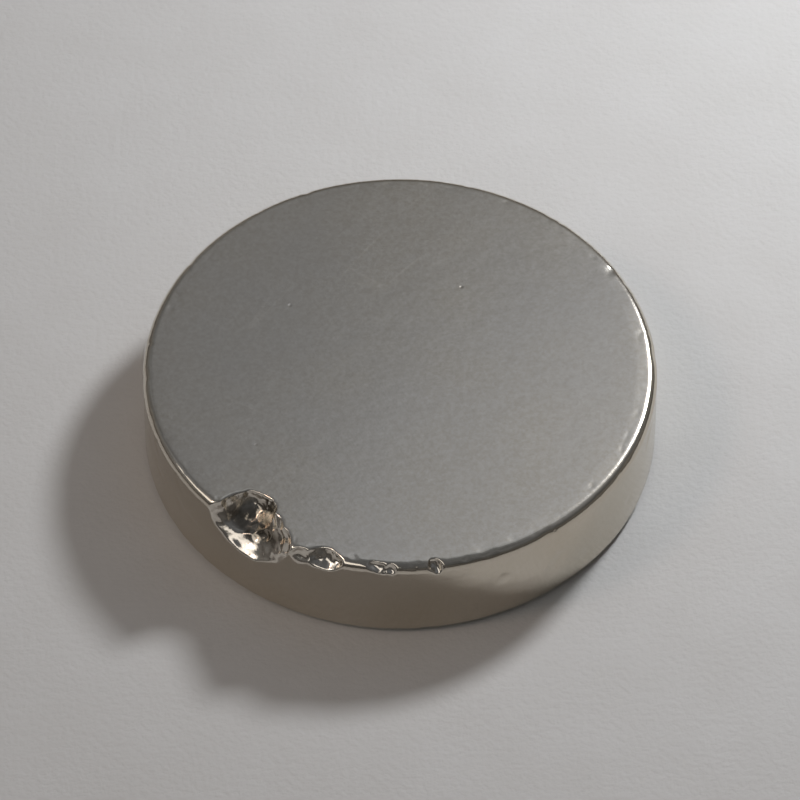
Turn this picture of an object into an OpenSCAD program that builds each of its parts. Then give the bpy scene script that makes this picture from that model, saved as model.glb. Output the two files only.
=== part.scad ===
// A disc magnet: one sintered body, ground, tumbled and nickel plated, with a chipped edge.
// It lies on one pole face. The origin is the centre of that face, and +Z is the disc's axis.

/* [Disc] */
// Diameter across the rim
disc_d = 10; // [4:0.5:30]
// Thickness from one pole face to the other
disc_t = 2; // [1.2:0.1:10]
// Radius of the tumbled edge between the rim and each pole face
edge_r = 0.2; // [0.05:0.05:0.45]

/* [Edge chip] */
// Bearing of the middle of the chip round the axis, from +X, in degrees
chip_angle = 234; // [0:1:359]
// Width of the chip along the upper edge
chip_w = 2.1; // [1:0.1:3]
// How far the chip runs down the rim, below the rounded edge
chip_drop = 0.6; // [0.2:0.05:0.8]
// How far the chip bites into the upper pole face, inside the rounded edge
chip_bite = 0.4; // [0.1:0.05:0.7]

/* [Pit at the back of the chip] */
// Distance along the edge from the middle of the chip to the middle of the pit
pit_shift = -0.25; // [-0.9:0.05:0.9]
// Width of the pit along the upper edge
pit_w = 1.1; // [0.6:0.1:1.6]
// How far the pit runs down the rim, below the rounded edge
pit_drop = 0.3; // [0.1:0.05:0.6]
// How far the pit bites into the upper pole face, inside the rounded edge
pit_bite = 0.65; // [0.3:0.05:1]

/* [Edge nick] */
// Length of sound edge between the chip and the nick, below zero where they overlap
nick_gap = 0.05; // [-0.65:0.05:5]
// Width of the nick along the upper edge
nick_w = 0.9; // [0.5:0.05:1.5]
// How far the nick runs down the rim, below the rounded edge
nick_drop = 0.1; // [0.05:0.05:0.4]
// How far the nick bites into the upper pole face, inside the rounded edge
nick_bite = 0.05; // [0.05:0.05:0.4]

/* [Hidden] */
$fn = 180;
disc_r = disc_d / 2;
nickel = [0.83, 0.80, 0.75];
pit_angle = chip_angle + arc_angle(pit_shift);
nick_angle = chip_angle + chord_half_angle(chip_w) + arc_angle(nick_gap) + chord_half_angle(nick_w);

// The angle at the axis over a length of the edge, and half the angle over a straight width.
function arc_angle(length) = length / disc_r * 180 / PI;
function chord_half_angle(w) = asin(w / disc_d);

// A ball scoops a break out of a square edge: it meets the edge over a half width h, and
// reaches some distance along each of the two faces. The less it reaches along one face,
// the further its centre stands beyond the other, by this much.
function ball_beyond(h, reach) = (h * h - reach * reach) / (2 * reach);

// Half of the disc's section: pole faces, rim and a quarter round at each corner.
module half_section() {
    square([disc_r - edge_r, disc_t]);
    translate([0, edge_r]) square([disc_r, disc_t - 2 * edge_r]);
    for (z = [edge_r, disc_t - edge_r]) translate([disc_r - edge_r, z]) circle(r = edge_r);
}

// The ball that scoops a break of width w out of the upper edge at a bearing. Its drop and
// bite are counted from the ends of the rounded edge, so it always cuts the rim and the face.
// The ball is turned so that its poles and its seam lie outside the disc.
module scoop(bearing, w, drop, bite) {
    out = ball_beyond(w / 2, edge_r + bite);
    up = ball_beyond(w / 2, edge_r + drop);
    rotate([0, 0, bearing]) translate([disc_r + out, 0, disc_t + up])
        rotate([0, -45, 0]) sphere(r = norm([w / 2, out, up]));
}

module disc_magnet() {
    color(nickel) difference() {
        rotate_extrude() half_section();
        scoop(chip_angle, chip_w, chip_drop, chip_bite);
        scoop(pit_angle, pit_w, pit_drop, pit_bite);
        scoop(nick_angle, nick_w, nick_drop, nick_bite);
    }
}

disc_magnet();
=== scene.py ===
"""Looks of a disc magnet: a nickel-plated disc with a chipped edge, lying on pale paper.

Lengths that carry the suffix _mm are millimetres; everything that reaches Blender is in metres.
The disc's axis is +Z, its lower pole face lies on the paper at z = 0, and the camera stands
on the -Y side. Bearings and azimuths are degrees round the axis, from +X towards +Y.
"""

import logging
import math
from dataclasses import dataclass, field
from enum import Enum

import bpy
import numpy as np
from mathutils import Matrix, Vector


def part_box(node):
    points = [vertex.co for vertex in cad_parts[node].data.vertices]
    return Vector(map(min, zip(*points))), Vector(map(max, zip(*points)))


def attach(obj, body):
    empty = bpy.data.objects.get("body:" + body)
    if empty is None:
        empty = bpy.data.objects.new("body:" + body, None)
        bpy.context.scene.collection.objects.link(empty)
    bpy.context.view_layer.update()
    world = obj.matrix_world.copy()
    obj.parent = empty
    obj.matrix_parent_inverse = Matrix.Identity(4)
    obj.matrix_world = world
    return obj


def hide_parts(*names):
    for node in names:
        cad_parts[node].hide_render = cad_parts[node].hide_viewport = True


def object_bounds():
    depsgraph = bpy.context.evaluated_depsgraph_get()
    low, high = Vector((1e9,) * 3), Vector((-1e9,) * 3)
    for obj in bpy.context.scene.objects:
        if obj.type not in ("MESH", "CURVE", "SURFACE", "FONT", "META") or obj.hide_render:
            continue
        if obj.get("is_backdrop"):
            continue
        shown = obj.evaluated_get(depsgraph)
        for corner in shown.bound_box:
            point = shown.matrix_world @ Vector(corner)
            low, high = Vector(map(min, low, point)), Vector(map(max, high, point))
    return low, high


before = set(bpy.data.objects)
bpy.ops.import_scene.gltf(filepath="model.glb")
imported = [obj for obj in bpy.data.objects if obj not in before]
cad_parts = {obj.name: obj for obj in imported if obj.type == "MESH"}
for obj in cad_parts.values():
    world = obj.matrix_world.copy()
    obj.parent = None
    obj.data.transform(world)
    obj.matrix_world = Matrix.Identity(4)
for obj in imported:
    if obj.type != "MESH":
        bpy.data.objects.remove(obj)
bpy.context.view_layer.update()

MM = 0.001
NODE = "disc_magnet"
LOG = logging.getLogger("disc_magnet")

# The name of the flat map laid out on the disc.
BAKE_MAP = "OFBake"

# Nearly all of a noise texture's values lie between these two.
NOISE_LOW, NOISE_HIGH = 0.3, 0.7

# A Mix node has sockets for every kind of value, and these are the ones used here.
FACTOR, NUMBER_A, NUMBER_B, COLOUR_A, COLOUR_B = 0, 2, 3, 6, 7
MIXED_NUMBER, MIXED_COLOUR = 0, 2

Tree = bpy.types.NodeTree
Socket = bpy.types.NodeSocket


# ---------------------------------------------------------------- small helpers


def linear(hex_colour: str) -> tuple[float, float, float, float]:
    """Turns an sRGB hex colour into linear light.

    A value up to 0.04045 is divided by 12.92. A larger one has 0.055 added, is divided by
    1.055 and raised to the power 2.4.

    Args:
        hex_colour: Six hex digits after a hash, such as "#D4CDC0".

    Returns:
        Red, green and blue in linear light, and an alpha of 1.
    """
    values = (int(hex_colour[i : i + 2], 16) / 255 for i in (1, 3, 5))
    r, g, b = (v / 12.92 if v <= 0.04045 else ((v + 0.055) / 1.055) ** 2.4 for v in values)
    return r, g, b, 1.0


def bearing_vector(azimuth: float, elevation: float) -> np.ndarray:
    """Gives the unit vector towards a bearing.

    Args:
        azimuth: Degrees round the axis, from +X towards +Y.
        elevation: Degrees above the paper.

    Returns:
        The vector's x, y and z.
    """
    a, e = math.radians(azimuth), math.radians(elevation)
    return np.array([math.cos(a) * math.cos(e), math.sin(a) * math.cos(e), math.sin(e)])


def add_node(tree: Tree, kind: str, inputs: dict | None = None, **settings) -> bpy.types.Node:
    """Adds a node, and gives its inputs values or links.

    Args:
        tree: The node tree that it goes into.
        kind: The node's type name.
        inputs: Input name or number, to a value or to the output socket that feeds it.
        **settings: The node's own properties.

    Returns:
        The new node.
    """
    node = tree.nodes.new(kind)
    for name, value in settings.items():
        setattr(node, name, value)
    for name, value in (inputs or {}).items():
        if isinstance(value, Socket):
            tree.links.new(value, node.inputs[name])
        else:
            node.inputs[name].default_value = value
    return node


def grains_of(size_mm: float) -> float:
    """Gives the scale of a texture whose grains have this size: one over it, in metres."""
    return 1 / (size_mm * MM)


def new_material(name: str) -> bpy.types.Material:
    """Makes an empty material that uses nodes.

    Args:
        name: The material's name.

    Returns:
        The material, with no node in it.
    """
    material = bpy.data.materials.new(name)
    material.use_nodes = True
    material.node_tree.nodes.clear()
    return material


# ---------------------------------------------------------------- the disc's shape


class Mark(Enum):
    """A value from zero to one at each place of the disc, which its mesh has for its finish."""

    BROKEN = "broken"
    # Depth under the plain disc, which sets the painted shade deep in the breaks.
    SUNKEN = "sunken"


@dataclass(frozen=True)
class WaveNoise:
    """Smooth random relief: plane waves of random direction, length and phase, added up."""

    seed: int
    shortest_mm: float
    longest_mm: float
    waves: int = 20

    def at(self, points: np.ndarray) -> np.ndarray:
        """Works out the relief.

        It is the sum of the waves' sines, times the square root of two over their number, so
        its mean square is one, whatever that number.

        Args:
            points: Places in millimetres, the last axis being x, y and z.

        Returns:
            The relief at each place, mostly between -2 and 2.
        """
        rng = np.random.default_rng(self.seed)
        directions = rng.normal(size=(self.waves, 3))
        directions /= np.linalg.norm(directions, axis=1, keepdims=True)
        lengths = rng.uniform(self.shortest_mm, self.longest_mm, self.waves)
        phases = rng.uniform(0, 2 * np.pi, self.waves)
        turns = (directions * (2 * np.pi / lengths)[:, None]).T.astype(np.float32)
        angles = points.astype(np.float32) @ turns + phases.astype(np.float32)
        return np.sin(angles).sum(-1) * math.sqrt(2 / self.waves)


def smooth_max(a: np.ndarray, b: np.ndarray, blend: float) -> np.ndarray:
    """Takes the larger of two distances, rounded over where they are nearly equal.

    Args:
        a: The first distance.
        b: The second distance.
        blend: The difference below which the rounding starts.

    Returns:
        The larger one, raised by up to a quarter of the blend.
    """
    near = np.clip(1 - np.abs(a - b) / blend, 0, None)
    return np.maximum(a, b) + near**2 * blend / 4


@dataclass(frozen=True)
class Scar:
    """The hollow of a break in the upper edge: a ball's, roughened by the scars of flakes.

    Attributes:
        bearing: The bearing of its middle.
        width_mm: Its width along the edge.
        drop_mm: How far it reaches down the rim, from the square corner.
        bite_mm: How far it reaches into the face, from the square corner.
        flakes: How many flakes came off inside it.
        flake_spread: How far along the edge they lie, as a share of half the width.
        flake_size: The least and the greatest ball of a flake, as shares of the break's ball.
        flake_depth: The least and the greatest depth of a flake, as shares of the width.
        rough_share: How much of the way from the face's border to the rim's has flakes.
        ridge_mm: The blend that rounds the ridges between flakes.
    """

    bearing: float
    width_mm: float
    drop_mm: float
    bite_mm: float
    flakes: int = 6
    flake_spread: float = 0.85
    flake_size: tuple[float, float] = (0.28, 0.5)
    flake_depth: tuple[float, float] = (0.004, 0.022)
    rough_share: float = 0.5
    ridge_mm: float = 0.006

    def balls(self) -> tuple[np.ndarray, np.ndarray]:
        """Places the ball of the break and the smaller balls of its flakes.

        The ball meets the square corner over half the width, h, and reaches the drop down the
        rim and the bite into the face, so its centre stands (h^2 - reach^2) / (2 reach) beyond
        each. A flake's ball is smaller and lies inside it, but for a small share of the width
        that stands out of it, in a random direction between the face and the rim.

        Returns:
            Their centres in millimetres along the edge, out from the rim and up from the face,
            and their radii.
        """
        tenths_of_degree = round(self.bearing * 10)
        rng = np.random.default_rng(tenths_of_degree)
        half = self.width_mm / 2
        out = (half**2 - self.bite_mm**2) / (2 * self.bite_mm)
        up = (half**2 - self.drop_mm**2) / (2 * self.drop_mm)
        ball = math.hypot(half, out, up)
        to_rim = math.atan2(self.drop_mm + up, out)
        to_face = math.atan2(up, self.bite_mm + out)
        slope = rng.uniform(to_face, to_face + self.rough_share * (to_rim - to_face), self.flakes)
        along = rng.uniform(-self.flake_spread, self.flake_spread, self.flakes) * half
        turn = np.arcsin(along / ball)
        size = ball * rng.uniform(*self.flake_size, self.flakes)
        reach = ball - size + self.width_mm * rng.uniform(*self.flake_depth, self.flakes)
        level = np.cos(turn)
        towards = np.stack([np.sin(turn), -level * np.cos(slope), -level * np.sin(slope)], 1)
        middle = np.array([[0, out, up]])
        centres = np.concatenate([middle, middle + reach[:, None] * towards])
        return centres, np.concatenate([[ball], size])

    def depth(self, points: np.ndarray, radius_mm: float, thickness_mm: float) -> np.ndarray:
        """Works out how deep each place lies inside the hollow.

        Args:
            points: Places in millimetres.
            radius_mm: The disc's radius.
            thickness_mm: The disc's thickness.

        Returns:
            The greatest of each ball's radius less the distance from its centre.
        """
        a = math.radians(self.bearing)
        x, y, z = np.moveaxis(points, -1, 0)
        turned = np.arctan2(y * math.cos(a) - x * math.sin(a), x * math.cos(a) + y * math.sin(a))
        local = np.stack([turned * radius_mm, np.hypot(x, y) - radius_mm, z - thickness_mm], -1)
        deepest = np.full(z.shape, -radius_mm)
        for centre, size in zip(*self.balls()):
            inside = size - np.linalg.norm(local - centre, axis=-1)
            deepest = smooth_max(deepest, inside, self.ridge_mm)
        return deepest


def small_nick(bearing: float, width_mm: float, drop_mm: float, bite_mm: float, flakes: int) -> Scar:
    """Makes a nick that is little more than its flakes, which are coarse and all over it.

    Args:
        bearing: The bearing of its middle.
        width_mm: Its width along the edge.
        drop_mm: How far it reaches down the rim, from the square corner.
        bite_mm: How far it reaches into the face, from the square corner.
        flakes: How many flakes came off inside it.

    Returns:
        The nick.
    """
    coarse = {"flake_size": (0.4, 0.75), "flake_depth": (0.02, 0.08), "rough_share": 1.0}
    return Scar(bearing, width_mm, drop_mm, bite_mm, flakes, **coarse)


def band(places: np.ndarray, start: float, end: float, fade: float = 0.06) -> np.ndarray:
    """Marks a stretch of a path: one inside it and zero outside, with soft ends.

    Args:
        places: Places along the path.
        start: Where the stretch starts.
        end: Where it ends.
        fade: The length over which an end fades.

    Returns:
        Half the difference of two hyperbolic tangents at each place.
    """
    return (np.tanh((places - start) / fade) - np.tanh((places - end) / fade)) / 2


def spread(density: np.ndarray, places: np.ndarray, count: int) -> np.ndarray:
    """Spaces stations so that they crowd where the density is high.

    The density is added up along the path, and the stations cut its sum into equal parts.

    Args:
        density: How many stations are wanted for each unit, at each place.
        places: The places, in rising order.
        count: How many stations there are.

    Returns:
        The stations, from the first place to the last.
    """
    steps = (density[1:] + density[:-1]) / 2 * np.diff(places)
    total = np.concatenate([[0], np.cumsum(steps)])
    return np.interp(np.linspace(0, total[-1], count), total, places)


@dataclass(frozen=True)
class Crowding:
    """How densely the mesh's rows and columns lie, as weights that are added up.

    The lengths say how far a weight reaches to either side of the middle of a rounded edge, or
    for the breaks down the rim and into the upper face. The columns' weight over the breaks is
    added to one.
    """

    faces: float = 2.6
    rim: float = 7.0
    lower_edge: float = 45.0
    lower_edge_mm: float = 0.19
    upper_edge: float = 25.0
    upper_edge_mm: float = 0.16
    breaks: float = 45.0
    breaks_down_mm: float = 1.05
    breaks_in_mm: float = 1.0
    columns: float = 2.4
    columns_bearing: float = 249.0
    columns_reach: float = 33.0
    columns_power: int = 8

    def along_section(self, places: np.ndarray, low_edge: float, high_edge: float) -> np.ndarray:
        """Works out the rows' density.

        Args:
            places: Places along the section.
            low_edge: The place of the lower edge's middle.
            high_edge: The place of the upper edge's middle.

        Returns:
            The density at each place.
        """
        density = np.full_like(places, self.faces)
        for weight, start, end in (
            (self.rim, low_edge, high_edge),
            (self.lower_edge, low_edge - self.lower_edge_mm, low_edge + self.lower_edge_mm),
            (self.upper_edge, high_edge - self.upper_edge_mm, high_edge + self.upper_edge_mm),
            (self.breaks, high_edge - self.breaks_down_mm, high_edge + self.breaks_in_mm),
        ):
            density = density + weight * band(places, start, end)
        return density

    def round_axis(self, bearings: np.ndarray) -> np.ndarray:
        """Works out the columns' density: one, and a bell with steep sides over the breaks.

        Args:
            bearings: Bearings in radians.

        Returns:
            The density at each bearing.
        """
        middle, reach = math.radians(self.columns_bearing), math.radians(self.columns_reach)
        return 1 + self.columns * np.exp(-(((bearings - middle) / reach) ** self.columns_power))


@dataclass(frozen=True)
class EdgeWear:
    """What tumbling and handling leave on the rounded edges and the rim, under the plating."""

    roll_mm: float = 0.004
    roll_width_mm: float = 0.55
    bruise_mm: float = 0.007
    bruise_reach_mm: float = 0.34
    bruises: WaveNoise = WaveNoise(29, 0.17, 0.5, 30)
    bruise_threshold: float = 0.9
    ding_mm: float = 0.008
    dings: WaveNoise = WaveNoise(37, 0.35, 1.1, 30)
    ding_threshold: float = 1.25

    def depth(self, points: np.ndarray, radius_mm: float, thickness_mm: float) -> np.ndarray:
        """Works out how much is worn away.

        The faces roll off by the square of the way to the rim, and where a relief of waves
        rises over its threshold near an edge, the edge is bruised. A slower relief does the
        same to the rim, whose dings are wider.

        Args:
            points: Places in millimetres.
            radius_mm: The disc's radius.
            thickness_mm: The disc's thickness.

        Returns:
            The depth in millimetres, at or above zero.
        """
        inward = radius_mm - np.hypot(points[..., 0], points[..., 1])
        down = thickness_mm / 2 - np.abs(points[..., 2] - thickness_mm / 2)
        roll = np.clip(1 - inward / self.roll_width_mm, 0, 1) ** 2
        near = np.clip(1 - np.hypot(inward, down) / self.bruise_reach_mm, 0, 1)
        bruise = np.maximum(self.bruises.at(points) - self.bruise_threshold, 0)
        ding = np.maximum(self.dings.at(points) - self.ding_threshold, 0)
        on_rim = np.clip(1 - inward / self.bruise_reach_mm, 0, 1)
        return (
            self.roll_mm * roll
            + self.bruise_mm * bruise * np.sqrt(near)
            + self.ding_mm * ding * on_rim
        )


@dataclass
class PlatedDisc:
    """The disc: a ground and tumbled body, chipped at its edge and then nickel plated."""

    edge_radius_mm: float = 0.2

    # Rows run from the middle of the lower face to the middle of the upper one, and columns
    # run round the axis.
    columns: int = 850
    rows: int = 116
    quarter_points: int = 33
    fine_places: int = 4001
    crowding: Crowding = Crowding()

    # The rays that find the surface start this far inside the rim. The search along a ray runs
    # between two shares of the way to the plain section.
    heart_mm: float = 1.2
    ray_start: float = 0.05
    ray_end: float = 1.04
    halvings: int = 26

    # The mean depths of the ripples, and the height that their relief hardly ever passes, so
    # that they go inwards only.
    face_ripple_mm: float = 0.0016
    face_ripple: WaveNoise = WaveNoise(3, 1.8, 5.0)
    rim_ripple_mm: float = 0.0036
    rim_ripple: WaveNoise = WaveNoise(4, 0.45, 1.5)
    relief_peak: float = 3.0

    # The outlines of the breaks wander in x, y and z, and jitter on the way.
    wander_mm: float = 0.03
    wander: tuple[WaveNoise, ...] = tuple(WaveNoise(seed, 0.5, 1.8) for seed in (11, 12, 13))
    jitter_mm: float = 0.006
    jitter: tuple[WaveNoise, ...] = tuple(WaveNoise(seed, 0.16, 0.45) for seed in (21, 22, 23))

    # The blend that rounds the breaks' borders, and the depth that counts as fully sunken, by which the
    # painted shade deep in the breaks is measured.
    border_mm: float = 0.035
    deep_mm: float = 0.4

    # The flat map's side at the disc's own scale, the gap round its strips, the middles of its
    # round patches as shares of its side, and how much larger the strips are drawn.
    map_mm: float = 20.4
    map_gap_mm: float = 0.08
    map_quarters: tuple[float, float] = (0.25, 0.75)
    strips: int = 3
    strip_scale: float = 1.7

    # The first three scars are the chip, the pit at its back and the nick beside it, where the
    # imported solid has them.
    wear: EdgeWear = EdgeWear()
    scars: tuple[Scar, ...] = (
        Scar(bearing=234, width_mm=2.1, drop_mm=0.8, bite_mm=0.6, flakes=26),
        Scar(bearing=231.1, width_mm=1.1, drop_mm=0.5, bite_mm=0.85, flakes=16),
        Scar(bearing=251.9, width_mm=0.9, drop_mm=0.3, bite_mm=0.25, flakes=8),
        Scar(bearing=247.9, width_mm=0.5, drop_mm=0.26, bite_mm=0.2),
        small_nick(bearing=265.2, width_mm=0.42, drop_mm=0.23, bite_mm=0.18, flakes=6),
        small_nick(bearing=267.5, width_mm=0.3, drop_mm=0.17, bite_mm=0.14, flakes=4),
        small_nick(bearing=277.6, width_mm=0.3, drop_mm=0.18, bite_mm=0.14, flakes=5),
    )
    radius_mm: float = field(init=False)
    thickness_mm: float = field(init=False)

    def __post_init__(self) -> None:
        """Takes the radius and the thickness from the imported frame.

        The radius is rounded to 0.01 mm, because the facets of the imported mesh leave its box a
        few microns short.
        """
        low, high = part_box(NODE)
        self.radius_mm = round((high[0] - low[0]) / 2 / MM, 2)
        self.thickness_mm = round((high[2] - low[2]) / MM, 3)

    def plain(self, points: np.ndarray) -> np.ndarray:
        """Works out how far each place lies outside the plain disc.

        The plain disc is a rounded box in radius and height: past its corner the distance is
        the hypotenuse of the two, and elsewhere it is the larger one, less the edge's radius.

        Args:
            points: Places in millimetres.

        Returns:
            Millimetres outside the plain disc, less than zero inside.
        """
        inset = self.edge_radius_mm
        across = np.hypot(points[..., 0], points[..., 1]) - (self.radius_mm - inset)
        up = np.abs(points[..., 2] - self.thickness_mm / 2) - (self.thickness_mm / 2 - inset)
        corner = np.hypot(np.maximum(across, 0), np.maximum(up, 0))
        return corner + np.minimum(np.maximum(across, up), 0) - inset

    def distance(self, points: np.ndarray) -> np.ndarray:
        """Works out how far each place lies outside the disc's surface.

        Ripples of a few microns in the plain disc stand in for grinding and plating, the edges
        are worn, and the hollows of the breaks are taken away with their borders rounded over,
        as plating leaves them. A place is wholly on the rim up to one edge radius inside it,
        and wholly on a face from two.

        Args:
            points: Places in millimetres.

        Returns:
            Millimetres outside the surface, less than zero inside.
        """
        inward = self.radius_mm - np.hypot(points[..., 0], points[..., 1])
        on_rim = np.clip(2 - inward / self.edge_radius_mm, 0, 1)
        face_ripple = 1 + self.face_ripple.at(points) / self.relief_peak
        rim_ripple = 1 + self.rim_ripple.at(points) / self.relief_peak
        found = self.plain(points)
        found = found + self.face_ripple_mm * (1 - on_rim) * face_ripple
        found = found + self.rim_ripple_mm * on_rim * rim_ripple
        found = found + self.wear.depth(points, self.radius_mm, self.thickness_mm)
        return smooth_max(found, self.hollow(points), self.border_mm)

    def hollow(self, points: np.ndarray) -> np.ndarray:
        """Works out how deep each place lies inside the breaks.

        The places are first moved a little, by slow reliefs and by quick ones, so that no
        outline is a circle's.

        Args:
            points: Places in millimetres, as rows by columns by three, where each column has
                one bearing.

        Returns:
            The depth inside the deepest break, less than zero outside them all.
        """
        deepest = np.full(points.shape[:-1], -self.radius_mm)
        on_rim = points[len(points) // 2]
        bearing = np.degrees(np.arctan2(on_rim[:, 1], on_rim[:, 0]))
        for scar in self.scars:
            away = np.abs((bearing - scar.bearing + 180) % 360 - 180)
            near = np.radians(away) * self.radius_mm < scar.width_mm
            part = points[:, near]
            moved = part + self.wander_mm * np.stack([noise.at(part) for noise in self.wander], -1)
            moved = moved + self.jitter_mm * np.stack([noise.at(part) for noise in self.jitter], -1)
            depth = scar.depth(moved, self.radius_mm, self.thickness_mm)
            deepest[:, near] = smooth_max(deepest[:, near], depth, scar.ridge_mm)
        return deepest

    def outline(self) -> np.ndarray:
        """Places the rows along the section, from the middle of one pole face to the other.

        The section is a straight face, a quarter circle, the straight rim, a quarter circle
        and a straight face. Rows crowd on the quarter circles and near the upper edge.

        Returns:
            Radius and height of each row, in millimetres.
        """
        inset, r, t = self.edge_radius_mm, self.radius_mm, self.thickness_mm
        turn = np.linspace(0, np.pi / 2, self.quarter_points)
        lower = np.stack([r - inset + inset * np.sin(turn), inset - inset * np.cos(turn)], 1)
        upper = np.stack([lower[::-1, 0], t - lower[::-1, 1]], 1)
        corners = np.concatenate([[[0, 0]], lower, upper, [[0, t]]])
        along = np.concatenate([[0], np.cumsum(np.linalg.norm(np.diff(corners, axis=0), axis=1))])
        places = np.linspace(0, along[-1], self.fine_places)
        quarter = inset * np.pi / 2
        low_edge = r - inset + quarter / 2
        high_edge = along[-1] - low_edge
        density = self.crowding.along_section(places, low_edge, high_edge)
        stations = spread(density, places, self.rows)
        return np.stack([np.interp(stations, along, corners[:, i]) for i in (0, 1)], 1)

    def bearings(self) -> np.ndarray:
        """Places the columns round the axis, crowded over the breaks.

        Returns:
            The bearing of each column, in radians.
        """
        places = np.linspace(0, 2 * np.pi, self.fine_places)
        return spread(self.crowding.round_axis(places), places, self.columns + 1)[:-1]

    def surface(self) -> np.ndarray:
        """Finds the surface along rays from the disc's heart, by halving.

        Each ray starts at mid height, under or inside its row's place on the plain section,
        and the crossing is halved down between a place inside and a place outside.

        Returns:
            Places in millimetres, as rows by columns by three.
        """
        section = self.outline()
        inner = np.minimum(section[:, 0], self.radius_mm - self.heart_mm)
        start = np.stack([inner, np.full_like(inner, self.thickness_mm / 2)], 1)
        angle = self.bearings()
        turn = np.stack([np.cos(angle), np.sin(angle)], 1)

        def place(share: np.ndarray) -> np.ndarray:
            """Places a share of the way along every ray."""
            flat = start[:, None, :] + share[..., None] * (section - start)[:, None, :]
            return np.concatenate([flat[..., :1] * turn, flat[..., 1:]], 2)

        inside = np.full((self.rows, self.columns), self.ray_start)
        outside = np.full_like(inside, self.ray_end)
        for _ in range(self.halvings):
            middle = (inside + outside) / 2
            out = self.distance(place(middle)) > 0
            outside = np.where(out, middle, outside)
            inside = np.where(out, inside, middle)
        return place((inside + outside) / 2)

    def corners(self) -> tuple[np.ndarray, np.ndarray, np.ndarray]:
        """Lists the corners of the mesh's faces: rings of quads, and a fan at each pole.

        Returns:
            The row and the column of each corner, face after face, and each face's number of
            corners. The column after the last one stands for the first.
        """
        ring = np.arange(1, self.rows - 2)[:, None, None]
        col = np.arange(self.columns)[None, :, None]
        quads = np.broadcast_arrays(ring + np.array([0, 0, 1, 1]), col + np.array([0, 1, 1, 0]))
        low = np.broadcast_arrays(np.array([0, 1, 1]), col + np.array([0, 1, 0]))
        last = self.rows - 1
        high = np.broadcast_arrays(last - np.array([0, 1, 1]), col + np.array([0, 0, 1]))
        parts = (quads, low, high)
        row, col = (np.concatenate([part[i].ravel() for part in parts]) for i in (0, 1))
        sizes = np.repeat([4, 3], [quads[0].size // 4, 2 * self.columns])
        return row, col, sizes

    def flat_map(self, row: np.ndarray, col: np.ndarray, sizes: np.ndarray) -> np.ndarray:
        """Lays the surface out flat: a round patch for each pole face, and strips for the rim.

        A round patch is polar: the way from the axis along the section, at the bearing. A
        strip is the way round the rim by the way along the section. The patches stand side by
        side over the strips.

        Args:
            row: The row of each corner.
            col: The column of each corner.
            sizes: The number of corners of each face.

        Returns:
            The corners' places on a square map whose side is one.
        """
        section = self.outline()
        along = np.append(0, np.cumsum(np.linalg.norm(np.diff(section, axis=0), axis=1)))
        turn = np.append(self.bearings(), 2 * np.pi)
        starts = np.cumsum(sizes) - sizes
        middle = np.repeat(np.add.reduceat(along[row], starts) / sizes, sizes)
        first = np.repeat(turn[np.minimum.reduceat(col, starts)], sizes)
        low_edge = self.radius_mm - self.edge_radius_mm * (1 - np.pi / 4)
        high_edge = along[-1] - low_edge

        side = self.map_mm
        near, far = self.map_quarters
        upper = middle > high_edge
        reach = np.where(upper, along[-1] - along[row], along[row])
        mirror = np.where(upper, 1, -1)
        across = np.where(upper, near, far) * side + mirror * reach * np.cos(turn[col])
        patch = np.stack([across, far * side + reach * np.sin(turn[col])], 1)

        sector = 2 * np.pi / self.strips
        strip = np.floor(first / sector)
        pitch = side / 2 / self.strips
        round_rim = (turn[col] - strip * sector) * self.radius_mm
        up_rim = strip * pitch + self.strip_scale * (along[row] - low_edge)
        strips = np.stack([self.strip_scale * round_rim, up_rim], 1) + self.map_gap_mm
        return np.where((upper | (middle < low_edge))[:, None], patch, strips) / side

    def build(self) -> bpy.types.Object:
        """Makes the disc's mesh, with the marks for its finish and the flat map on it.

        Returns:
            The disc, at the origin, with its place in its mesh.
        """
        grid = self.surface()
        points = np.concatenate([grid[1:-1].reshape(-1, 3), grid[[0, -1]].mean(1)])
        broken = np.clip(1 + self.hollow(grid[1:-1]) / self.border_mm, 0, 1)
        # How far under the plain disc each place lies, for the painted shade deep in the breaks.
        sunken = np.clip(-self.plain(grid[1:-1]) / self.deep_mm, 0, 1)
        row, col, sizes = self.corners()
        last = self.rows - 1
        ring = (row - 1) * self.columns + col % self.columns
        pole = len(points) - 2 + (row == last)
        mesh = bpy.data.meshes.new("plated_disc")
        mesh.vertices.add(len(points))
        mesh.vertices.foreach_set("co", (points * MM).astype(np.float32).ravel())
        mesh.loops.add(len(row))
        mesh.loops.foreach_set("vertex_index", np.where((row == 0) | (row == last), pole, ring))
        mesh.polygons.add(len(sizes))
        mesh.polygons.foreach_set("loop_start", np.cumsum(sizes) - sizes)
        mesh.update(calc_edges=True)
        mesh.shade_smooth()
        for mark, values in ((Mark.BROKEN, broken), (Mark.SUNKEN, sunken)):
            layer = mesh.attributes.new(mark.value, "FLOAT", "POINT")
            layer.data.foreach_set("value", np.append(values, [0, 0]).astype(np.float32))
        flat = mesh.uv_layers.new(name=BAKE_MAP)
        flat.data.foreach_set("uv", self.flat_map(row, col, sizes).astype(np.float32).ravel())
        mesh.validate()
        disc = bpy.data.objects.new("plated_disc", mesh)
        bpy.context.scene.collection.objects.link(disc)
        return disc


# ---------------------------------------------------------------- finishes


@dataclass(frozen=True)
class Reading:
    """What the plating's nodes read at each place of the disc.

    The rim is zero on the faces and one on the rim, broken is one inside the breaks, and
    sunken says how far under the plain disc a place lies, up to one.
    """

    tree: Tree
    where: Socket
    rim: Socket
    broken: Socket
    sunken: Socket


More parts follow.
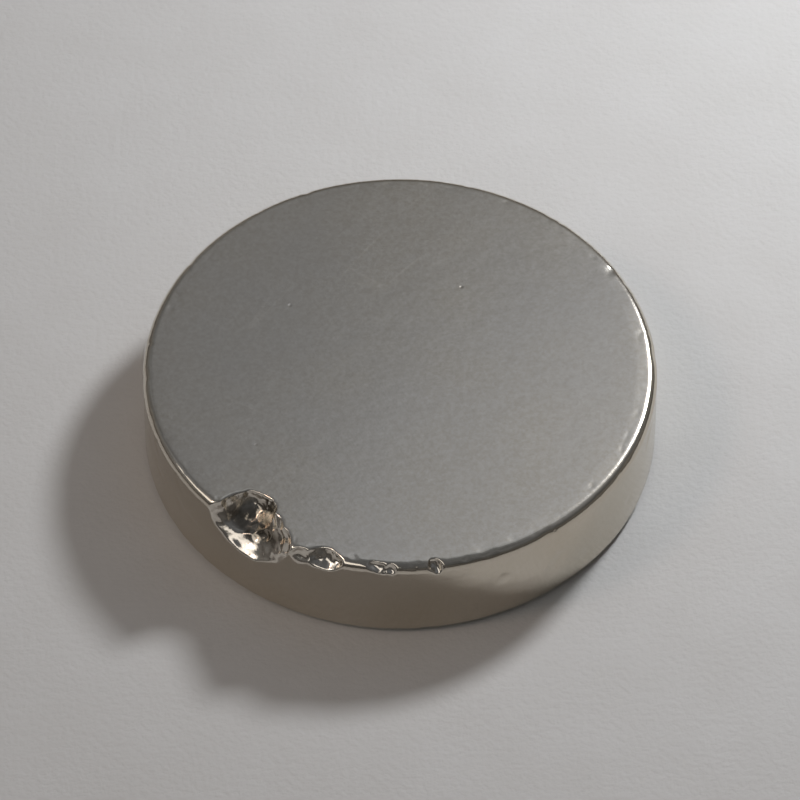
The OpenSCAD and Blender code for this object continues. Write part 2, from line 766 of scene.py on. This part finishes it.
@dataclass(frozen=True)
class NickelPlating:
    """Bright nickel over ground and tumbled metal.

    Nickel is a slightly yellow mirror. What is under it shows through faintly: grinding marks
    run one way across the faces and round the rim, a satin grain softens what the faces
    mirror, and the rim is smoother from tumbling. The plating adds a soft peel, faint stains
    and a few pin pits, and handling adds hairline scratches. In the breaks it lies over the
    crumbly grains of sintered metal, so it is duller there. Deep inside the breaks the colour
    is painted darker and browner with depth: painted shade, standing in for the shade that
    falls in such a hollow.

    At the camera's distance nothing finer than about 0.04 mm shows. Real grinding marks, satin
    grains and sintered grains are 0.005 to 0.02 mm wide, so grinding_mm, satin_mm, grain_mm and
    crumb_mm are drawn several times coarser, and the scratches a few times wider than they are.
    """

    colour: str = "#D3CCC0"
    warm_colour: str = "#C8BFAF"
    grain_colour: str = "#E4DFD5"
    face_grain: float = 0.42
    rim_grain: float = 0.12
    grain_mm: float = 0.085
    grain_roughness: float = 0.7
    grain_low: float = 0.35
    grain_high: float = 0.65
    broken_colour: str = "#D5CFC5"
    # Painted shade: deep in a break the colour turns towards this dark brown, more so with depth.
    deep_shade_colour: str = "#8E877C"
    deep_shade_start: float = 0.4
    deep_shade_end: float = 0.85
    face_roughness: float = 0.16
    rim_roughness: float = 0.08
    broken_roughness: float = 0.17
    crumb_mm: float = 0.075
    crumb_depth_mm: float = 0.0035
    cloud_roughness: float = 0.1
    scratch_roughness: float = 0.03
    grinding_mm: float = 0.05
    grinding_length_mm: float = 7.0
    grinding_turn: float = 28.0
    grinding_depth_mm: float = 0.0009
    satin_mm: float = 0.09
    satin_depth_mm: float = 0.0008
    peel_mm: float = 0.4
    peel_depth_mm: float = 0.0022
    cloud_mm: float = 3.0
    scratch_mm: float = 1.6
    scratch_length_mm: float = 16.0
    scratch_share: float = 0.007
    scratch_turns: tuple[float, ...] = (63.0, -34.0)
    scratch_depth_mm: float = 0.00012
    patch_low: float = 0.5
    patch_high: float = 0.62
    pit_spacing_mm: float = 1.1
    pit_share: float = 0.05
    pit_depth_mm: float = 0.006
    rim_finish_ends: float = 0.25

    def read(self, tree: Tree, disc: PlatedDisc) -> Reading:
        """Adds the nodes that read the disc.

        The finish turns from the faces' into the rim's over the rounded edge, in proportion to
        the distance from the axis.

        Args:
            tree: The node tree that they go into.
            disc: The disc, for where its faces end.

        Returns:
            What they read.
        """
        where = add_node(tree, "ShaderNodeTexCoord").outputs["Object"]
        broken, sunken = (
            add_node(tree, "ShaderNodeAttribute", attribute_name=mark.value).outputs["Fac"]
            for mark in (Mark.BROKEN, Mark.SUNKEN)
        )
        flat = add_node(
            tree, "ShaderNodeVectorMath", {0: where, 1: (1, 1, 0)}, operation="MULTIPLY"
        ).outputs[0]
        across = add_node(tree, "ShaderNodeVectorMath", {0: flat}, operation="LENGTH")
        radius, edge = disc.radius_mm * MM, disc.edge_radius_mm * MM
        limits = {"From Min": radius - edge, "From Max": radius - edge * self.rim_finish_ends}
        rim = add_node(
            tree, "ShaderNodeMapRange", {"Value": across.outputs["Value"], **limits}
        ).outputs[0]
        return Reading(tree, where, rim, broken, sunken)

    def drawn_out(self, at: Reading, turn: float, size_mm: tuple[float, float, float]) -> Socket:
        """Adds noise whose grains have a length, a breadth and a height of their own.

        Args:
            at: What the nodes read.
            turn: Degrees that the grains are turned by, round the axis.
            size_mm: The grains' x, y and z sizes before they are turned, in millimetres.

        Returns:
            The noise, between zero and one.
        """
        sizes = {"Rotation": (0, 0, math.radians(turn)), "Scale": tuple(v * MM for v in size_mm)}
        place = add_node(
            at.tree, "ShaderNodeMapping", {"Vector": at.where, **sizes}, vector_type="TEXTURE"
        ).outputs[0]
        grains = {"Vector": place, "Scale": 1, "Detail": 2}
        return add_node(at.tree, "ShaderNodeTexNoise", grains).outputs[0]

    def grinding(self, at: Reading) -> Socket:
        """Adds the grinding marks: straight across the faces, and round the rim.

        Args:
            at: What the nodes read.

        Returns:
            Their height, between zero and one.
        """
        fine, long = self.grinding_mm, self.grinding_length_mm
        across_face = self.drawn_out(at, self.grinding_turn, (fine, long, long))
        round_rim = self.drawn_out(at, 0, (long, long, fine))
        marks = {FACTOR: at.rim, NUMBER_A: across_face, NUMBER_B: round_rim}
        return add_node(at.tree, "ShaderNodeMix", marks).outputs[MIXED_NUMBER]

    def scratches(self, at: Reading) -> Socket:
        """Adds hairline scratches: the places where drawn-out noise is almost a half.

        They are kept in patches only, where a slow noise is high.

        Args:
            at: What the nodes read.

        Returns:
            One on a scratch and zero elsewhere.
        """
        size = (self.scratch_mm, self.scratch_length_mm, self.scratch_length_mm)
        found: Socket | float = 0.0
        for turn in self.scratch_turns:
            noise = self.drawn_out(at, turn, size)
            off = add_node(at.tree, "ShaderNodeMath", {0: noise, 1: 0.5}, operation="SUBTRACT")
            gap = add_node(at.tree, "ShaderNodeMath", {0: off.outputs[0]}, operation="ABSOLUTE")
            fall = {"From Max": self.scratch_share, "To Min": 1, "To Max": 0}
            line = add_node(at.tree, "ShaderNodeMapRange", {"Value": gap.outputs[0], **fall})
            both = {0: found, 1: line.outputs[0]}
            found = add_node(at.tree, "ShaderNodeMath", both, operation="MAXIMUM").outputs[0]
        slow = {"Vector": at.where, "Scale": grains_of(self.scratch_mm), "Detail": 0}
        patches = add_node(at.tree, "ShaderNodeTexNoise", slow).outputs[0]
        limits = {"From Min": self.patch_low, "From Max": self.patch_high}
        kept = add_node(at.tree, "ShaderNodeMapRange", {"Value": patches, **limits}).outputs[0]
        both = {0: found, 1: kept}
        return add_node(at.tree, "ShaderNodeMath", both, operation="MULTIPLY").outputs[0]

    def pits(self, at: Reading) -> Socket:
        """Adds pin pits, one in each cell of a Voronoi pattern.

        Args:
            at: What the nodes read.

        Returns:
            One in the middle of a pit, falling to zero at its border.
        """
        cells = {"Vector": at.where, "Scale": grains_of(self.pit_spacing_mm)}
        away = add_node(at.tree, "ShaderNodeTexVoronoi", cells).outputs["Distance"]
        return add_node(
            at.tree,
            "ShaderNodeMapRange",
            {"Value": away, "From Max": self.pit_share, "To Min": 1, "To Max": 0},
            interpolation_type="SMOOTHSTEP",
        ).outputs[0]

    def sound_colour(self, at: Reading, cloud: Socket) -> Socket:
        """Colours sound plating: stained warmer in clouds, and speckled with pale grains.

        The grains are bolder on the faces than on the rim.

        Args:
            at: What the nodes read.
            cloud: Slow noise.

        Returns:
            The colour.
        """
        clouds = {"Value": cloud, "From Min": NOISE_LOW, "From Max": NOISE_HIGH}
        stain = add_node(at.tree, "ShaderNodeMapRange", clouds).outputs[0]
        nickel = {COLOUR_A: linear(self.colour), COLOUR_B: linear(self.warm_colour)}
        mottled = add_node(at.tree, "ShaderNodeMix", {FACTOR: stain, **nickel}, data_type="RGBA")
        sharp = {"Detail": 3, "Roughness": self.grain_roughness}
        grains = {"Vector": at.where, "Scale": grains_of(self.grain_mm), **sharp}
        grain = add_node(at.tree, "ShaderNodeTexNoise", grains).outputs[0]
        bold = {FACTOR: at.rim, NUMBER_A: self.face_grain, NUMBER_B: self.rim_grain}
        most = add_node(at.tree, "ShaderNodeMix", bold).outputs[MIXED_NUMBER]
        limits = {"From Min": self.grain_low, "From Max": self.grain_high, "To Max": most}
        speck = add_node(at.tree, "ShaderNodeMapRange", {"Value": grain, **limits}).outputs[0]
        both = {COLOUR_A: mottled.outputs[MIXED_COLOUR], COLOUR_B: linear(self.grain_colour)}
        speckled = add_node(at.tree, "ShaderNodeMix", {FACTOR: speck, **both}, data_type="RGBA")
        return speckled.outputs[MIXED_COLOUR]

    def tint(self, at: Reading, cloud: Socket) -> Socket:
        """Colours the whole disc: sound plating, paler breaks, and painted shade deep inside them,
        darker and browner with depth.

        Args:
            at: What the nodes read.
            cloud: Slow noise.

        Returns:
            The colour.
        """
        # Painted shade: the deeper a place lies in a break, the nearer its colour comes to the dark
        # brown.
        depth = {"Value": at.sunken, "From Min": self.deep_shade_start, "From Max": self.deep_shade_end}
        deep = add_node(at.tree, "ShaderNodeMapRange", depth).outputs[0]
        metal = {COLOUR_A: linear(self.broken_colour), COLOUR_B: linear(self.deep_shade_colour)}
        shaded_break = add_node(at.tree, "ShaderNodeMix", {FACTOR: deep, **metal}, data_type="RGBA")
        both = {COLOUR_A: self.sound_colour(at, cloud), COLOUR_B: shaded_break.outputs[MIXED_COLOUR]}
        whole = add_node(at.tree, "ShaderNodeMix", {FACTOR: at.broken, **both}, data_type="RGBA")
        return whole.outputs[MIXED_COLOUR]

    def roughness(self, at: Reading, cloud: Socket, scratch: Socket) -> Socket:
        """Sets how blurred the mirror is: least on the rim, and more in clouds and scratches.

        Args:
            at: What the nodes read.
            cloud: Slow noise.
            scratch: One on a scratch and zero elsewhere.

        Returns:
            The roughness.
        """
        plain = {FACTOR: at.rim, NUMBER_A: self.face_roughness, NUMBER_B: self.rim_roughness}
        sound = add_node(at.tree, "ShaderNodeMix", plain).outputs[MIXED_NUMBER]
        for pattern, amount in ((cloud, self.cloud_roughness), (scratch, self.scratch_roughness)):
            more = {0: pattern, 1: amount, 2: sound}
            sound = add_node(at.tree, "ShaderNodeMath", more, operation="MULTIPLY_ADD").outputs[0]
        both = {FACTOR: at.broken, NUMBER_A: sound, NUMBER_B: self.broken_roughness}
        return add_node(at.tree, "ShaderNodeMix", both).outputs[MIXED_NUMBER]

    def relief(self, at: Reading, scratch: Socket) -> Socket:
        """Raises the fine relief: one bump after another, from the crumb to the pin pits.

        Args:
            at: What the nodes read.
            scratch: One on a scratch and zero elsewhere.

        Returns:
            The direction that the surface faces.
        """
        satin, peel, crumb = (
            add_node(
                at.tree,
                "ShaderNodeTexNoise",
                {"Vector": at.where, "Scale": grains_of(size), "Detail": detail},
            ).outputs[0]
            for size, detail in ((self.satin_mm, 1), (self.peel_mm, 1), (self.crumb_mm, 3))
        )
        facing = add_node(
            at.tree,
            "ShaderNodeBump",
            {"Height": crumb, "Strength": at.broken, "Distance": self.crumb_depth_mm * MM},
        ).outputs[0]
        for pattern, depth_mm, sunk in (
            (self.grinding(at), self.grinding_depth_mm, False),
            (satin, self.satin_depth_mm, False),
            (peel, self.peel_depth_mm, False),
            (scratch, self.scratch_depth_mm, True),
            (self.pits(at), self.pit_depth_mm, True),
        ):
            facing = add_node(
                at.tree,
                "ShaderNodeBump",
                {"Height": pattern, "Distance": depth_mm * MM, "Normal": facing},
                invert=sunk,
            ).outputs[0]
        return facing

    def build(self, disc: PlatedDisc) -> bpy.types.Material:
        """Makes the plating's material.

        Args:
            disc: The disc that it covers, for where its faces end.

        Returns:
            The material.
        """
        material = new_material("bright_nickel_plating")
        at = self.read(material.node_tree, disc)
        slow = {"Vector": at.where, "Scale": grains_of(self.cloud_mm), "Detail": 4}
        cloud = add_node(at.tree, "ShaderNodeTexNoise", slow).outputs[0]
        scratch = self.scratches(at)
        shader = add_node(
            at.tree,
            "ShaderNodeBsdfPrincipled",
            {
                "Base Color": self.tint(at, cloud),
                "Metallic": 1.0,
                "Roughness": self.roughness(at, cloud, scratch),
                "Normal": self.relief(at, scratch),
            },
        )
        add_node(at.tree, "ShaderNodeOutputMaterial", {"Surface": shader.outputs[0]})
        return material


@dataclass(frozen=True)
class UncoatedPaper:
    """Smooth uncoated paper: pressed pulp with no coat on it.

    It is matt and pale, with a faint mottle where the pulp lies thicker and a fine tooth that
    catches light from the side. The tooth of such paper is about 0.03 mm, too fine to show, so
    grain_mm draws it about four times coarser.
    """

    colour: str = "#BAB9B6"
    cloud_colour: str = "#B3B1AD"
    grain_mm: float = 0.13
    grain_depth_mm: float = 0.018
    cloud_mm: float = 1.6
    roughness: float = 0.9
    specular_level: float = 0.2

    def build(self) -> bpy.types.Material:
        """Makes the paper's material.

        Returns:
            The material.
        """
        material = new_material("uncoated_paper")
        tree = material.node_tree
        where = add_node(tree, "ShaderNodeTexCoord").outputs["Object"]
        cloud, grain = (
            add_node(
                tree,
                "ShaderNodeTexNoise",
                {"Vector": where, "Scale": grains_of(size), "Detail": detail},
            ).outputs[0]
            for size, detail in ((self.cloud_mm, 5), (self.grain_mm, 4))
        )
        mottle = {FACTOR: cloud, COLOUR_A: linear(self.colour), COLOUR_B: linear(self.cloud_colour)}
        tint = add_node(tree, "ShaderNodeMix", mottle, data_type="RGBA").outputs[MIXED_COLOUR]
        tooth = add_node(
            tree, "ShaderNodeBump", {"Height": grain, "Distance": self.grain_depth_mm * MM}
        ).outputs[0]
        shader = add_node(
            tree,
            "ShaderNodeBsdfPrincipled",
            {
                "Base Color": tint,
                "Roughness": self.roughness,
                "Specular IOR Level": self.specular_level,
                "Normal": tooth,
            },
        )
        add_node(tree, "ShaderNodeOutputMaterial", {"Surface": shader.outputs[0]})
        return material


# ---------------------------------------------------------------- the studio


@dataclass(frozen=True)
class Lamp:
    """An oval soft lamp that faces the disc.

    Its breadth and height are the degrees that it fills, as the disc sees it. Its share is how
    brightly it alone would light white paper, where one is white.
    """

    name: str
    azimuth: float
    elevation: float
    breadth: float
    height: float
    colour: str
    share: float
    distance_mm: float = 320.0

    def build(self) -> None:
        """Hangs the lamp.

        A lamp of power P at distance d and height angle h lights the paper by
        P sin(h) / (pi^2 d^2), and its power is worked out from its share by that.
        """
        reach = self.distance_mm * MM
        lamp = bpy.data.lights.new(self.name, "AREA")
        lamp.shape = "ELLIPSE"
        lamp.size = 2 * reach * math.tan(math.radians(self.breadth / 2))
        lamp.size_y = 2 * reach * math.tan(math.radians(self.height / 2))
        lamp.color = linear(self.colour)[:3]
        lamp.energy = self.share * (math.pi * reach) ** 2 / math.sin(math.radians(self.elevation))
        holder = bpy.data.objects.new(self.name, lamp)
        towards = Vector(bearing_vector(self.azimuth, self.elevation))
        holder.location = towards * reach
        holder.rotation_euler = towards.to_track_quat("Z", "Y").to_euler()
        bpy.context.scene.collection.objects.link(holder)


@dataclass(frozen=True)
class Studio:
    """A pale sheet under the disc, a dim room round it, four soft lamps and a camera.

    The room's colours go by the height of the direction, from level to overhead, and its
    brightness by the direction's y, from a share in front to all of it at the back. The camera
    sees from so many times nearer than the disc to so many times farther.
    """

    sheet_mm: float = 1200.0
    sheet_lines: int = 9
    camera_azimuth: float = -90.0
    camera_elevation: float = 50.0
    camera_distance_mm: float = 142.0
    camera_clip: float = 10.0
    view_width_mm: float = 15.6
    lamps: tuple[Lamp, ...] = (
        Lamp("window_lamp", 48, 42, breadth=11, height=11, colour="#F6F9FF", share=0.67, distance_mm=46),
        Lamp("back_panel", 58, 61, breadth=40, height=40, colour="#E8F0FF", share=0.028, distance_mm=60),
        Lamp("warm_lamp", 196, 50, breadth=12, height=12, colour="#FFE0CE", share=0.088),
        Lamp("left_panel", 219, 43, breadth=78, height=20, colour="#FFF9F2", share=0.13, distance_mm=90),
    )
    room: tuple[tuple[float, str], ...] = (
        (0.0, "#4C4845"),
        (0.2, "#716E6B"),
        (0.55, "#696B6E"),
        (0.8, "#7E8085"),
        (1.0, "#6C6F73"),
    )
    front: float = -0.9
    back: float = 0.3
    front_share: float = 0.5
    cloud_scale: float = 3.0
    cloud_low: float = 0.6
    cloud_high: float = 1.4

    def build_sheet(self) -> bpy.types.Object:
        """Lays the sheet of paper at z = 0, as a grid of squares.

        Returns:
            The sheet.
        """
        half = self.sheet_mm / 2 * MM
        n = self.sheet_lines
        grid = np.linspace(-half, half, n)
        x, y = np.meshgrid(grid, grid)
        points = np.stack([x, y, np.zeros_like(x)], 2).reshape(-1, 3)
        first = (np.arange(n - 1)[:, None] * n + np.arange(n - 1)).ravel()
        quads = np.stack([first, first + 1, first + n + 1, first + n], 1)
        mesh = bpy.data.meshes.new("paper_sheet")
        mesh.from_pydata(points.tolist(), [], quads.tolist())
        sheet = bpy.data.objects.new("paper_sheet", mesh)
        bpy.context.scene.collection.objects.link(sheet)
        mesh.materials.append(UncoatedPaper().build())
        sheet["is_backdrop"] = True
        return sheet

    def build_room(self) -> None:
        """Lights the room: dark low down and round the camera, brighter behind the disc.

        Soft clouds of light make it uneven, so that the plating has something to mirror.
        """
        world = bpy.data.worlds.new("dim_room")
        bpy.context.scene.world = world
        world.use_nodes = True
        tree = world.node_tree
        tree.nodes.clear()
        direction = add_node(tree, "ShaderNodeTexCoord").outputs["Generated"]
        parts = add_node(tree, "ShaderNodeSeparateXYZ", {0: direction}).outputs
        ramp = add_node(tree, "ShaderNodeValToRGB", {0: parts["Z"]})
        elements = ramp.color_ramp.elements
        for element, (height, colour) in zip(elements, (self.room[0], self.room[-1])):
            element.position, element.color = height, linear(colour)
        for height, colour in self.room[1:-1]:
            elements.new(height).color = linear(colour)
        depth = {"From Min": self.front, "From Max": self.back, "To Min": self.front_share}
        strength = add_node(tree, "ShaderNodeMapRange", {"Value": parts["Y"], **depth}).outputs[0]
        clouds = {"Vector": direction, "Scale": self.cloud_scale, "Detail": 1}
        cloud = add_node(tree, "ShaderNodeTexNoise", clouds).outputs[0]
        limits = {"From Min": NOISE_LOW, "From Max": NOISE_HIGH}
        light = {"To Min": self.cloud_low, "To Max": self.cloud_high}
        uneven = add_node(
            tree, "ShaderNodeMapRange", {"Value": cloud, **limits, **light}
        ).outputs[0]
        both = {0: strength, 1: uneven}
        level = add_node(tree, "ShaderNodeMath", both, operation="MULTIPLY").outputs[0]
        glow = add_node(tree, "ShaderNodeBackground", {"Color": ramp.outputs[0], "Strength": level})
        add_node(tree, "ShaderNodeOutputWorld", {"Surface": glow.outputs[0]})

    def build_camera(self) -> None:
        """Sets up the camera, looking at the middle of the disc."""
        low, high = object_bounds()
        reach = self.camera_distance_mm * MM
        camera = bpy.data.cameras.new("camera")
        camera.lens = camera.sensor_width * self.camera_distance_mm / self.view_width_mm
        camera.clip_start = reach / self.camera_clip
        camera.clip_end = reach * self.camera_clip
        holder = bpy.data.objects.new("camera", camera)
        towards = Vector(bearing_vector(self.camera_azimuth, self.camera_elevation))
        holder.location = (low + high) / 2 + towards * reach
        holder.rotation_euler = towards.to_track_quat("Z", "Y").to_euler()
        bpy.context.scene.collection.objects.link(holder)
        bpy.context.scene.camera = holder

    def build(self) -> bpy.types.Object:
        """Builds the whole studio.

        Returns:
            The sheet of paper, which is all of it that has a mesh.
        """
        bpy.context.scene.view_settings.view_transform = "Standard"
        sheet = self.build_sheet()
        self.build_room()
        for lamp in self.lamps:
            lamp.build()
        self.build_camera()
        return sheet


def main() -> None:
    """Builds the disc, its finish and the studio round it."""
    logging.basicConfig(level=logging.INFO, format="%(name)s: %(message)s")
    disc = PlatedDisc()
    piece = disc.build()
    piece.data.materials.append(NickelPlating().build(disc))
    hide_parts(NODE)
    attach(piece, "root")
    sheet = Studio().build()
    for made in (piece, sheet):
        LOG.info("%s: %d points, %d faces", made.name, len(made.data.vertices), len(made.data.polygons))


if __name__ == "__main__":
    main()
